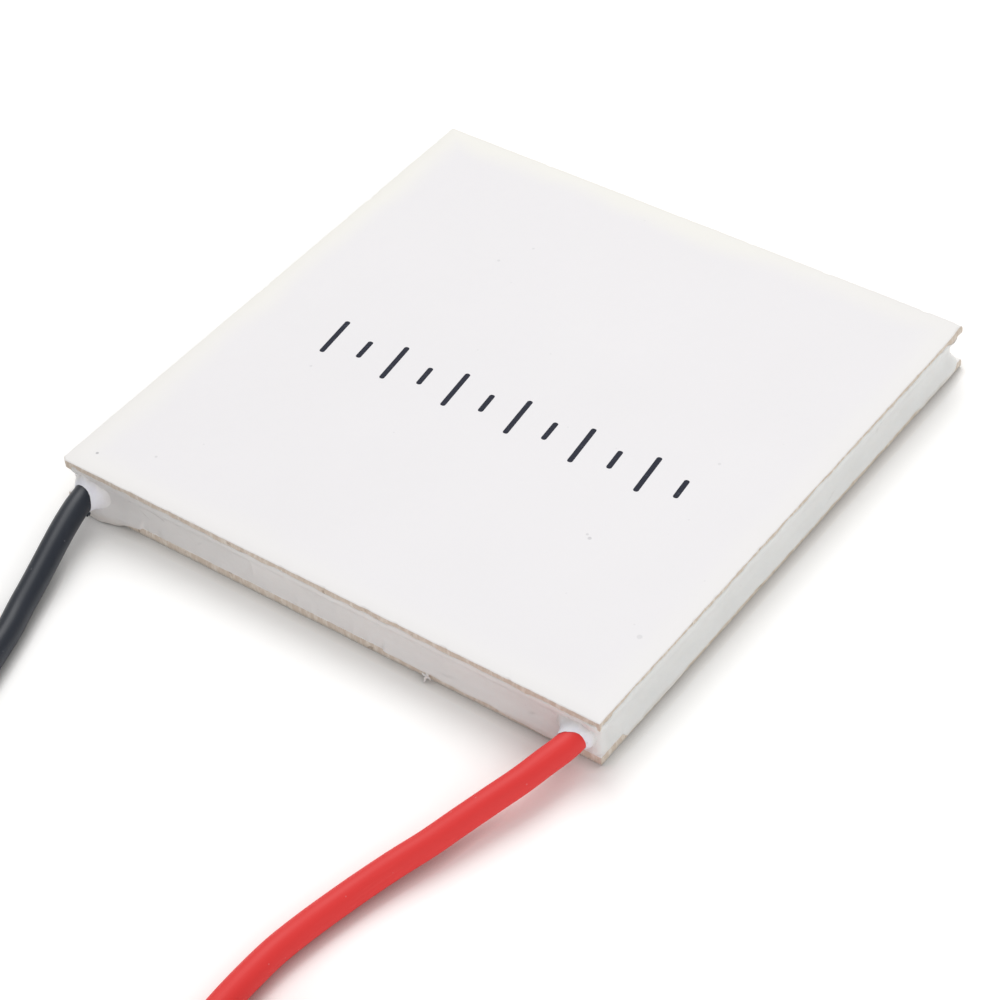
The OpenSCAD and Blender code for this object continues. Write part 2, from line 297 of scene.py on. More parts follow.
def insulationFinish(name, c):
    f = Finish(name)
    drawn = f.grain(f.along((1.0, 0.045, 1)), 0.30, 3, 0.6)  # lines left by the die, along the lead
    cloud = f.grain(f.along((0.35, 0.12, 1)), 0.55, 2)
    dust = 1 - f.ramp(f.cells(f.along((1, 0.9, 1)), 0.8), 0.03, 0.075)
    worn = f.ramp(drawn + (cloud - 0.5) * 0.8, 0.55, 0.95)
    color = f.mix(worn * 0.45, c["color"], c["worn"])
    color = f.mix(dust * 0.16, color, (0.62, 0.62, 0.62))
    height = drawn * 0.5 + f.grain(f.along((1, 0.6, 1)), 0.14, 2) * 0.35
    return f.surface(
        Base_Color=color, Roughness=c["rough"] + (cloud - 0.5) * 0.22 + worn * 0.1,
        Specular_IOR_Level=0.4, Coat_Weight=0.06, Coat_Roughness=0.4, Normal=f.bump(height, 0.010))


def tapeFinish():
    f = Finish("tieTape")
    p = f.point()
    weave = f.grain(f.stretch(p, (1, 3, 3)), 0.5, 3)
    color = f.mix(f.ramp(weave, 0.3, 0.75), (0.80, 0.80, 0.79), (0.70, 0.70, 0.69))
    return f.surface(Base_Color=color, Roughness=0.6 + (weave - 0.5) * 0.2, Normal=f.bump(weave, 0.02))


def copperFinish():
    f = Finish("copperTabs")
    p = f.point()
    brushed = f.grain(f.stretch(p, (4, 0.5, 4)), 0.4, 3)
    tarnish = f.ramp(f.grain(p, 1.6, 3), 0.45, 0.75)
    color = f.mix(tarnish * 0.6, (0.80, 0.42, 0.25), (0.42, 0.20, 0.12))
    return f.surface(
        Base_Color=color, Metallic=1.0, Roughness=0.30 + tarnish * 0.2 + (brushed - 0.5) * 0.2,
        Normal=f.bump(brushed, 0.01))


def solderFinish(name, color):
    f = Finish(name)
    p = f.point()
    grain = f.cells(p, 0.25)
    flow = f.grain(p, 0.9, 2)
    shade = f.mix(f.ramp(grain, 0.1, 0.7), color, (0.50, 0.50, 0.49))
    return f.surface(
        Base_Color=shade, Metallic=1.0, Roughness=0.26 + (flow - 0.5) * 0.2 + grain * 0.12,
        Normal=f.bump(grain + flow, 0.015))


def pelletFinish(name, dark, bright):
    f = Finish(name)
    p = f.point()
    flake = f.cells(f.stretch(p, (1, 1, 2.5)), 0.22, "Color")
    shine = f.split(flake)[0]
    sawn = f.grain(f.stretch(p, (0.4, 0.4, 6)), 0.3, 2)
    return f.surface(
        Base_Color=f.mix(shine * 0.8, dark, bright), Metallic=0.85,
        Roughness=0.34 + shine * 0.25, Normal=f.bump(sawn * 0.6 + shine * 0.4, 0.008))


def inkFinish():
    f = Finish("printInk")
    p = f.point()
    wear = f.grain(p, 0.32, 4, 0.7)
    thin = f.ramp(wear, 0.56, 0.74)
    color = f.mix(thin * 0.35, (0.007, 0.010, 0.026), (0.14, 0.15, 0.19))
    return f.surface(
        Base_Color=color, Roughness=0.62 + thin * 0.12, Specular_IOR_Level=0.25, Normal=f.bump(wear, 0.004))


finishes = {
    "coldCeramic": ceramicFinish("coldCeramic", ceramic, ceramic["specks"]),
    "hotCeramic": ceramicFinish("hotCeramic", ceramic, []),
    "seal": sealFinish(silicone),
    "dab": dabFinish(silicone),
    "black": insulationFinish("blackInsulation", insulation["black"]),
    "red": insulationFinish("redInsulation", insulation["red"]),
    "tape": tapeFinish(),
    "copper": copperFinish(),
    "solder": solderFinish("tinSolder", (0.72, 0.72, 0.70)),
    "tinned": solderFinish("tinnedStrands", (0.78, 0.78, 0.75)),
    "pPellet": pelletFinish("pTypePellet", (0.10, 0.10, 0.11), (0.34, 0.34, 0.36)),
    "nPellet": pelletFinish("nTypePellet", (0.17, 0.17, 0.18), (0.50, 0.50, 0.53)),
    "ink": inkFinish(),
}
print("finishes:", len(finishes))


# ---- mesh helpers ----

def ease(t):
    t = min(1, max(0, t))
    return t * t * (3 - 2 * t)


def hump(t, middle, width):  # a soft rise of height 1
    return exp(-((t - middle) / width) ** 2)


def through(points, t):  # smooth value through (place, value) pairs
    if t <= points[0][0]:
        return points[0][1]
    for (t0, v0), (t1, v1) in zip(points, points[1:]):
        if t <= t1:
            return v0 + (v1 - v0) * ease((t - t0) / (t1 - t0))
    return points[-1][1]


def rough(x, y, z, size):  # two layers of noise of about -1 to 1 with features of that size
    return noise.fractal(Vector((x, y, z)) / size, 0.9, 2.0, 2)


def gridFaces(across, along, closeAcross, closeAlong):
    faces = []
    for i in range(along if closeAlong else along - 1):
        for j in range(across if closeAcross else across - 1):
            a, b = i * across + j, i * across + (j + 1) % across
            c, d = (i + 1) % along * across + (j + 1) % across, (i + 1) % along * across + j
            faces.append((a, b, c, d))
    return faces


def dressPiece(name, mesh, sharp):
    mesh.shade_smooth()
    mesh.set_sharp_from_angle(angle=radians(sharp))
    piece = addObject(name, mesh)
    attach(piece, "root")
    return piece


def newPiece(name, points, faces, finish, slot, sharp):  # points in mm
    mesh = bpy.data.meshes.new(name)
    mesh.from_pydata([Vector(p) * mm for p in points], [], faces)
    turned = bmesh.new()
    turned.from_mesh(mesh)
    bmesh.ops.recalc_face_normals(turned, faces=turned.faces)
    turned.to_mesh(mesh)
    turned.free()
    mesh.materials.append(finishes[finish])
    return dressPiece(name, mesh, sharp)


def addStain(piece, values):
    layer = piece.data.attributes.new("stain", "FLOAT", "POINT")
    layer.data.foreach_set("value", values)


# ---- leads: routes, coils and free ends ----

lead = {
    "od": 1.6,  # mm
    "grip": 1.0,  # insulation held in the rim seal
    "coilRadius": 8.6,
    "sides": 24,
    "spacing": 0.4,  # between the rings of the tube
    "tape": 0.14,  # the tie's thickness
}
wireR = lead["od"] / 2
grooveZ = wireR + wireR * sqrt(3)  # a turn that lies on two others

routes = {  # sideways and forwards from the exit, and height as a share of the exit's
    "black": {
        "side": -1, "exit": (-18, -20, 1.7), "turn": 12, "spare": 4, "route": [
            (0, 0, 1), (0.3, -1.4, 1), (0.7, -2.8, 0.93), (1.2, -4.4, 0.75), (1.7, -6, 0.5),
            (2.2, -7.6, 0.27), (2.7, -9.2, 0.09), (3.3, -10.8, 0), (3.8, -12.4, 0), (4.3, -14, 0),
            (4.7, -15.7, 0), (4.9, -17.4, 0), (5, -19, 0), (5, -20.3, 0), (5, -21.5, 0)]},
    "red": {
        "side": 1, "exit": (18.5, -20, 1.7), "turn": 6, "spare": 0, "route": [
            (0, 0, 1), (-0.1, -1.2, 1), (-0.4, -2.6, 0.97), (-0.8, -4.4, 0.88), (-1.4, -6.4, 0.73),
            (-2, -8.4, 0.56), (-2.6, -10.4, 0.37), (-3.3, -12.4, 0.2), (-3.9, -14.4, 0.07),
            (-4.4, -16.4, 0), (-4.8, -18.4, 0), (-5.1, -20.4, 0), (-5.2, -22.4, 0), (-5.2, -24.4, 0),
            (-5.1, -26.4, 0), (-5, -28.4, 0), (-4.9, -30.5, 0), (-4.9, -32.5, 0)]},
}
groove = grooveZ / lead["od"]
endRoute = [  # forwards, and height in lead diameters
    (0, groove), (2, groove), (4, groove), (5.6, groove), (6.6, 1.3),
    (7.6, 1.12), (8.8, 0.8),
    (9.8, 0.58), (10.7, 0.5), (11.5, 0.5)]


def inward(r):
    a = radians(r["turn"])
    return Vector((r["side"] * sin(a), cos(a), 0))


def runPoints(r):
    start = Vector(r["exit"])
    placed = [Vector((start.x + a, start.y + b, wireR + f * (start.z - wireR))) for a, b, f in r["route"]]
    return [start + lead["grip"] * inward(r)] + placed


def coilCentre(r):
    return runPoints(r)[-1] + Vector((r["side"] * (lead["coilRadius"] + wireR), 0, 0))


def coilPoints(r):
    centre = coilCentre(r)
    outer, inner = lead["coilRadius"] + wireR, lead["coilRadius"] - wireR
    across = [(310, outer), (362, inner), (625, inner), (672, inner + 0.2), (728, lead["coilRadius"])]
    up = [(612, wireR), (668, grooveZ + 0.22), (700, grooveZ + 0.26), (745, grooveZ)]
    points = []
    for degrees in range(6, 900, 6):
        a = radians(degrees)
        radius = through(across, degrees)
        tied = lead["tape"] * hump((degrees + 90) % 360, 180, 22)  # lifted by the tape under it
        z = through(up, degrees) + tied
        x, y = centre.x - r["side"] * radius * cos(a), centre.y - radius * sin(a)
        points.append(Vector((x, y, z)))
    return points


def endPoints(r):
    centre = coilCentre(r)
    x = centre.x + r["side"] * lead["coilRadius"]
    points = [Vector((x, centre.y + a, b * lead["od"])) for a, b in endRoute]
    if r["spare"] > 0:
        points.append(points[-1] + Vector((0, r["spare"], 0)))
    return points


def evenCurve(points, spacing):  # one smooth curve through the points, at even steps
    fine = []
    ends = [points[0] * 2 - points[1]] + points + [points[-1] * 2 - points[-2]]
    for p0, p1, p2, p3 in zip(ends, ends[1:], ends[2:], ends[3:]):
        k = (p2 - p1).length
        m1 = (p2 - p0) * (k / ((p1 - p0).length + k))
        m2 = (p3 - p1) * (k / ((p3 - p2).length + k))
        for i in range(12):
            t = i / 12
            here, there = 2 * t ** 3 - 3 * t ** 2 + 1, 3 * t ** 2 - 2 * t ** 3
            leaving, meeting = t ** 3 - 2 * t ** 2 + t, t ** 3 - t ** 2
            fine.append(p1 * here + m1 * leaving + p2 * there + m2 * meeting)
    fine.append(points[-1])
    total = sum((b - a).length for a, b in zip(fine, fine[1:]))
    steps = round(total / spacing)
    even, walked, want = [fine[0]], 0, total / steps
    for a, b in zip(fine, fine[1:]):
        length = (b - a).length
        while walked + length >= want - 1e-9 and len(even) < steps:
            even.append(a.lerp(b, (want - walked) / length))
            want += total / steps
        walked += length
    even.append(fine[-1])
    return even


def pathLength(path):
    return sum((b - a).length for a, b in zip(path, path[1:]))


def tubeRings(path, sides, radius):
    points = []
    for i, centre in enumerate(path):
        ahead = (path[min(i + 1, len(path) - 1)] - path[max(i - 1, 0)]).normalized()
        aside = ahead.cross(Vector((0, 0, 1))).normalized()
        up = aside.cross(ahead)
        for k in range(sides):
            a = 2 * pi * k / sides
            points.append(centre + (cos(a) * aside + sin(a) * up) * radius(i, a))
    return points


def addRouteMap(piece, path, sides):  # UV in mm: round the lead, and along it
    layer = piece.data.uv_layers.new(name="route")
    walked = [0]
    for a, b in zip(path, path[1:]):
        walked.append(walked[-1] + (b - a).length)
    girth = pi * lead["od"]
    for face in piece.data.polygons:
        spots = [piece.data.loops[k].vertex_index for k in face.loop_indices]
        turns = [spot % sides for spot in spots]
        wraps = max(turns) - min(turns) > sides / 2
        for k, spot, turn in zip(face.loop_indices, spots, turns):
            unwrapped = turn + (sides if wraps and turn < sides / 2 else 0)
            ring = min(spot // sides, len(walked) - 1)
            layer.data[k].uv = (unwrapped / sides * girth, walked[ring])


def makeLead(name, r):
    path = evenCurve(runPoints(r) + coilPoints(r) + endPoints(r), lead["spacing"])
    path.append(path[-1] + Vector((0, 0.03, 0)))  # the cut end's narrow bevel
    last = len(path) - 1

    def radius(i, a):
        centre = path[i]
        wobble = 1 + 0.006 * rough(centre.x, centre.y, a, 2.5)
        return (wireR - 0.04 if i == last else wireR) * wobble - 0.004

    sides = lead["sides"]
    points = tubeRings(path, sides, radius)
    faces = gridFaces(sides, len(path), True, False)
    faces.append(tuple(range(sides))[::-1])
    faces.append(tuple(last * sides + k for k in range(sides)))
    piece = newPiece(name + "Lead", points, faces, name, name + "_insulation", 50)
    addRouteMap(piece, path, sides)
    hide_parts(name + "_lead", name + "_lead_coil")
    return piece, path


# ---- a lead's tinned tip: strands that twist round one ----

tip = {
    "length": 6.0,  # mm
    "radius": 0.38,
    "strands": 7,  # round the core strands
    "turns": 0.9,
}


class Tree:  # a Geometry Nodes tree, with every node made by node()

    def __init__(self, name, inputs):
        self.tree = bpy.data.node_groups.new(name, "GeometryNodeTree")
        for label, kind in inputs.items():
            self.tree.interface.new_socket(label, in_out="INPUT", socket_type="NodeSocket" + kind)
        self.tree.interface.new_socket("Geometry", in_out="OUTPUT", socket_type="NodeSocketGeometry")
        self.given = self.tree.nodes.new("NodeGroupInput")

    def input(self, label):
        return self.given.outputs[label]

    def node(self, kind, settings=None, sockets=None, out=0):
        made = self.tree.nodes.new(kind if "Node" in kind else "GeometryNode" + kind)
        for name, value in (settings or {}).items():
            setattr(made, name, value)
        for name, value in (sockets or {}).items():
            socket = made.inputs[name]
            for each in value if isinstance(value, list) else [value]:
                if isinstance(each, bpy.types.NodeSocket):
                    self.tree.links.new(each, socket)
                else:
                    socket.default_value = each
        return made.outputs[out]

    def sum(self, operation, a, b):
        return self.node("ShaderNodeMath", {"operation": operation}, {0: a, 1: b})

    def tube(self, curve, profile):
        sockets = {"Curve": curve, "Profile Curve": profile, "Fill Caps": True}
        return self.node("CurveToMesh", None, sockets)

    def finish(self, geometry, material):
        plain = self.node("RealizeInstances", None, {0: geometry})
        dressed = self.node("SetMaterial", None, {"Geometry": plain, "Material": material})
        self.tree.links.new(dressed, self.tree.nodes.new("NodeGroupOutput").inputs[0])
        return self.tree


def strandTree():
    t = Tree("twistedStrands", {
        "Length": "Float", "Radius": "Float", "Strands": "Int", "Turns": "Float", "Material": "Material"})
    strand = t.sum("MULTIPLY", t.input("Radius"), 0.29)
    swing = t.sum("SUBTRACT", t.input("Radius"), strand)
    top = t.node("ShaderNodeCombineXYZ", None, {2: t.input("Length")})
    line = t.node("CurvePrimitiveLine", None, {"End": top})
    fine = t.node("ResampleCurve", None, {"Curve": line, "Count": 36})
    share = t.node("SplineParameter", None, None, "Factor")
    angle = t.sum("MULTIPLY", t.sum("MULTIPLY", share, t.input("Turns")), 2 * pi)
    taper = t.sum("SUBTRACT", 1.0, t.sum("MULTIPLY", t.sum("POWER", share, 14.0), 0.45))
    reach = t.sum("MULTIPLY", swing, taper)
    helix = t.node("ShaderNodeCombineXYZ", None, {
        0: t.sum("MULTIPLY", reach, t.sum("COSINE", angle, 0)),
        1: t.sum("MULTIPLY", reach, t.sum("SINE", angle, 0))})
    bent = t.node("SetPosition", None, {"Geometry": fine, "Offset": helix})
    circle = t.node("CurvePrimitiveCircle", None, {"Resolution": 10, "Radius": strand})
    outer = t.tube(bent, circle)
    coreCircle = t.node("CurvePrimitiveCircle", None, {"Resolution": 14, "Radius": swing})
    core = t.tube(fine, coreCircle)
    spots = t.node("MeshLine", None, {"Count": t.input("Strands"), "Offset": (0, 0, 0)})
    step = t.sum("DIVIDE", 2 * pi, t.input("Strands"))
    turned = t.sum("MULTIPLY", t.node("InputIndex"), step)
    rotation = t.node("ShaderNodeCombineXYZ", None, {2: turned})
    twisted = t.node("InstanceOnPoints", None, {
        "Points": spots, "Instance": outer, "Rotation": rotation})
    both = t.node("JoinGeometry", None, {0: [twisted, core]})
    return t.finish(both, t.input("Material"))


def grownMesh(name, tree, settings, finish):  # runs a tree and keeps its result as a plain mesh
    holder = addObject(name, bpy.data.meshes.new(name + "Seed"))
    modifier = holder.modifiers.new("grow", "NODES")
    modifier.node_group = tree
    for item in tree.interface.items_tree:
        if item.name == "Material":
            modifier[item.identifier] = finishes[finish]
        elif item.in_out == "INPUT":
            modifier[item.identifier] = settings[item.name.lower()]
    graph = bpy.context.evaluated_depsgraph_get()
    mesh = bpy.data.meshes.new_from_object(holder.evaluated_get(graph))
    holder.modifiers.remove(modifier)
    bpy.data.objects.remove(holder)
    mesh.name = name
    return mesh


def grownPiece(name, mesh, place):  # place in mm
    mesh.transform(Matrix.Scale(mm, 4) @ place)
    return dressPiece(name, mesh, 50)


strands = strandTree()


def makeTip(name, path):
    mesh = grownMesh(name + "LeadTip", strands, tip, "tinned")
    place = Matrix.Translation(path[-1]) @ Matrix.Rotation(radians(-90), 4, "X")
    piece = grownPiece(name + "LeadTip", mesh, place)
    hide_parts(name + "_lead_tip")
    return piece


# ---- the tape that ties a coil ----

tie = {
    "width": 2.0,  # mm
    "lap": (25, 118),  # degrees of the outline under the second layer
    "lapStep": 0.07,
}


def tieOutline(offset, lift):  # round the three turns, as (radius from the coil's middle, height)
    centres = [(lead["coilRadius"] + wireR, wireR + lift, -90), (lead["coilRadius"], grooveZ + lift, 30),
               (lead["coilRadius"] - wireR, wireR + lift, 150)]
    outline = []
    for radius, z, first in centres:
        for k in range(13):
            degrees = first + 10 * k
            a = radians(degrees)
            lapped = tie["lapStep"] * ease((degrees - tie["lap"][0]) / 4)
            lapped *= 1 - ease((degrees - tie["lap"][1]) / 4)
            reach = wireR + offset + (lapped if offset > 0 else 0)
            outline.append((radius + reach * cos(a), z + reach * sin(a)))
    return outline


def makeTie(name, r):
    centre = coilCentre(r)
    half = tie["width"] / 2 / lead["coilRadius"]
    outer, inner = tieOutline(lead["tape"], lead["tape"]), tieOutline(0.005, lead["tape"])
    count = len(outer)
    rows = 9
    points = []
    for shell in (outer, inner):
        for i in range(rows):
            a = -pi / 2 - half + 2 * half * i / (rows - 1)
            for radius, z in shell:
                crease = 0.02 * rough(i * 0.3, radius, z, 0.8) if shell is outer else 0
                far, height = radius + crease, max(0.0, z + crease)
                points.append((centre.x + far * cos(a), centre.y + far * sin(a), height))
    faces = gridFaces(count, rows, True, False)
    shift = count * rows
    faces += [tuple(k + shift for k in f) for f in gridFaces(count, rows, True, False)]
    for row in (0, (rows - 1) * count):
        for j in range(count):
            k = (j + 1) % count
            faces.append((row + j, row + k, row + k + shift, row + j + shift))
    piece = newPiece(name + "CoilTie", points, faces, "tape", "tie_tape", 45)
    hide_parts(name + "_coil_tie")
    return piece


for name, r in routes.items():
    piece, path = makeLead(name, r)
    end = makeTip(name, path)
    band = makeTie(name, r)
    length = pathLength(path)
    length * mm
    [p * mm for p in path]
    print("lead:", name, round(length, 1), "mm of insulation")


# ---- ceramic plates ----

plate = {
    "step": 0.08,  # mm between points along an edge
    "wander": 0.035,  # how far the snapped edge strays from straight
    "chips": 0.15,  # depth of the chips along the outer arris
    "cornerBreak": 0.32,  # of the cold plate, over the black lead
    "corner": 0.08,  # the same corner of the hot plate
    "middle": 0.93,  # share of the half side where the flat middle starts
    "thin": 8,  # points on the edge for each one round the middle
    "nick": (19.9, 19.6, 0.14, 0.5),  # x, y, depth and width of the nick in the back corner
    "levels": [  # depth below the outer face, inset, share of the wander, share of the chips
        (0.000, 0.95, 0.0, 0.0), (0.000, 0.110, 0.8, 1.0), (0.012, 0.060, 0.9, 1.0), (0.040, 0.028, 1.0, 0.9),
        (0.085, 0.010, 1.0, 0.6), (0.160, 0.000, 1.0, 0.25), (0.260, 0.000, 1.0, 0.0),
        (0.370, 0.004, 1.0, 0.0),
        (0.480, 0.000, 1.0, 0.0), (0.565, 0.014, 1.0, 0.0), (0.620, 0.040, 1.0, 0.0),
        (0.650, 0.090, 0.8, 0.0),
        (0.650, 0.95, 0.0, 0.0)],
}


def outline(half, cut):  # corners of a plate, and the way each moves when the outline is drawn in
    corners = [Vector((cut - half, -half)), Vector((half, -half)), Vector((half, half)),
               Vector((-half, half)), Vector((-half, cut - half))]
    ways = []
    for k, corner in enumerate(corners):
        before = (corner - corners[k - 1]).normalized()
        after = (corners[(k + 1) % len(corners)] - corner).normalized()
        left = Vector((-before.y, before.x)) + Vector((-after.y, after.x))
        ways.append(left / (1 + before.dot(after)))
    return corners, ways


def makePlate(name, cut, upward, nicks):
    low, high = (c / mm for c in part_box(name + "_plate"))
    outer, sign = (high.z, -1) if upward else (low.z, 1)
    corners, ways = outline(high.x, cut)
    thin = plate["thin"]
    stations = []  # edge, share of the edge
    for k, corner in enumerate(corners):
        length = (corners[(k + 1) % len(corners)] - corner).length
        steps = thin * max(1, round(length / plate["step"] / thin))
        stations += [(k, i / steps) for i in range(steps)]
    points = []
    for depth, inset, wander, chips in plate["levels"]:
        z = outer + sign * depth
        for k, share in stations:
            j = (k + 1) % len(corners)
            flat = corners[k].lerp(corners[j], share)
            strayed = inset
            if wander:
                strays = rough(flat.x, flat.y, z * 2.5, 1.6) * 0.6
                strays += rough(flat.x, flat.y, z * 1.5, 0.4) * 0.4
                strayed += wander * plate["wander"] * (0.5 + strays)
                chip = max(0, rough(flat.x + 7, flat.y - 3, outer, 0.8) - 0.34)
                strayed += chips * plate["chips"] * chip
                for x, y, reach, width in nicks:
                    strayed += reach * hump((flat - Vector((x, y))).length, 0, width) * (0.55 + 0.45 * chips)
            a, b = corners[k] + ways[k] * strayed, corners[j] + ways[j] * strayed
            spot = a.lerp(b, share) if wander else flat * (1 - inset / high.x)
            points.append(Vector((spot.x, spot.y, z)))
    count = len(stations)
    faces = gridFaces(count, len(plate["levels"]), True, False)
    for row, level in ((0, plate["levels"][0]), (len(plate["levels"]) - 1, plate["levels"][-1])):
        first = len(points)
        for i in range(0, count, thin):
            k, share = stations[i]
            spot = corners[k].lerp(corners[(k + 1) % len(corners)], share) * plate["middle"]
            points.append(Vector((spot.x, spot.y, outer + sign * level[0])))
        few = count // thin
        for i in range(few):
            here, there = first + i, first + (i + 1) % few
            for k in range(thin):
                faces.append((row * count + thin * i + k, row * count + (thin * i + k + 1) % count, here))
            faces.append((row * count + thin * (i + 1) % count, there, here))
        faces.append(tuple(first + i for i in range(few)))
    piece = newPiece(name + "Plate", points, faces, name + "Ceramic", name + "_ceramic", 32)
    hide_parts(name + "_plate")


makePlate("cold", plate["cornerBreak"], True, [plate["nick"]])
makePlate("hot", plate["corner"], False, [])
print("plates done")


# ---- silicone rim seal ----

seal = {
    "width": 1.2,  # mm
    "setback": 0.10,
    "hollow": 0.13,
    "step": 0.10,
    "turns": 18,  # stations round each corner
    "rows": 26,  # down the hollow face
    "smearRows": 7,
    "smear": 0.07,  # thickness where it covers the hot plate's edge
    "lip": {"front": 0.30, "right": 0.45, "back": 0.36, "left": 0.36},  # reach up the cold plate
    "flare": [(-20, 0.20), (-18.8, 0.45), (-17.0, 0.60), (-15.4, 0.30), (-13.6, 0)],  # foot by the black lead
    "covers": {  # how low the silicone reaches along each side: (place, height)
        "front": [(-20, 0.03), (-17.2, 0.03), (-15.9, 0.10), (-14.6, 0.42), (-13.6, 0.64), (-9, 0.62),
                  (-2, 0.65),
                  (4.2, 0.65), (5.2, 0.50), (8.5, 0.46), (10.5, 0.36), (12.5, 0.40), (14.5, 0.18),
                  (16.0, 0.03),
                  (17.0, 0.20), (17.9, 0.62), (20, 0.65)],
        "right": [(-20, 0.65), (-17.9, 0.64), (-17.5, 0.12), (-14, 0.10), (-12.2, 0.12), (-11.3, 0.34),
                  (-6, 0.46),
                  (0, 0.42), (8, 0.46), (14.2, 0.44), (15.0, 0.10), (18.8, 0.08), (19.5, 0.40), (20, 0.64)],
        "back": [(-20, 0.65), (-12, 0.64), (-9.5, 0.30), (-6, 0.34), (-4.5, 0.63), (8, 0.65), (9, 0.40),
                 (12, 0.45),
                 (13, 0.64), (20, 0.65)],
        "left": [(-20, 0.65), (-10, 0.65), (-8, 0.36), (-3, 0.42), (-1.5, 0.64), (13, 0.64), (16, 0.22),
                 (18.5, 0.28),
                 (19.5, 0.05), (20, 0.03)],
    },
    "ridges": {  # place, height, width, reach up and down, how far it stands out
        "front": [(-5.1, 1.85, 0.16, 0.75, 0.055), (4.9, 0.75, 0.30, 0.16, 0.060),
                  (-12.9, 1.2, 1.6, 0.5, 0.030), (12.2, 1.3, 2.6, 0.7, -0.045),
                  (1.2, 1.9, 0.22, 0.6, 0.020)],
        "right": [(-15.5, 1.5, 1.3, 0.7, -0.035), (9.9, 2.3, 0.5, 0.35, -0.04), (15.6, 1.9, 1.6, 0.8, 0.05),
                  (2.2, 1.2, 3.0, 0.6, 0.03)],
        "back": [(3.0, 1.6, 2.0, 0.6, 0.04)],
        "left": [(-6.0, 1.5, 1.8, 0.6, 0.04)],
    },
    "stains": {  # place, height, length, thickness, slope, strength
        "front": [(-12.55, 2.28, 0.42, 0.045, -0.35, 0.60), (-12.1, 2.10, 0.10, 0.10, 0.0, 0.35),
                  (-10.75, 2.38, 0.34, 0.04, 0.30, 0.55), (-14.6, 2.45, 0.16, 0.06, 0.9, 0.40),
                  (-13.6, 1.75, 0.26, 0.05, -0.6, 0.38), (-9.3, 1.55, 0.22, 0.05, 0.8, 0.22),
                  (9.3, 1.0, 0.5, 0.06, 0.1, 0.22), (15.2, 1.3, 0.2, 0.08, 0.4, 0.30)],
        "right": [(9.9, 2.45, 0.10, 0.35, 0.0, 0.42), (13.6, 2.5, 0.5, 0.16, 0.0, 0.30),
                  (-15.5, 2.62, 0.08, 0.06, 0.0, 0.50), (4.4, 1.1, 0.4, 0.05, 0.2, 0.20)],
        "back": [(-3.0, 1.4, 0.5, 0.06, 0.4, 0.3)],
        "left": [(5.0, 1.9, 0.4, 0.06, -0.4, 0.3)],
    },
}
seal["sides"] = [  # the way outwards, and whether places grow or fall on the way round
    ("front", Vector((0, -1, 0)), 1), ("right", Vector((1, 0, 0)), 1),
    ("back", Vector((0, 1, 0)), -1), ("left", Vector((-1, 0, 0)), -1)]


def sealStations(inner):  # each has a foot on the bead's inner line, a way out, its side and its place there
    stations = []
    for side, out, sense in seal["sides"]:
        along = Vector((-out.y, out.x, 0))
        steps = round(2 * inner / seal["step"])
        for i in range(steps):
            t = -inner + 2 * inner * i / steps
            stations.append((out * inner + along * t, out, side, sense * t))
        for i in range(seal["turns"]):
            t = i / seal["turns"]
            a = pi / 2 * t
            way = out * cos(a) + along * sin(a)
            place = inner + (plateHalf - inner) * t
            stations.append(((out + along) * inner, way, side, sense * place))
    return stations


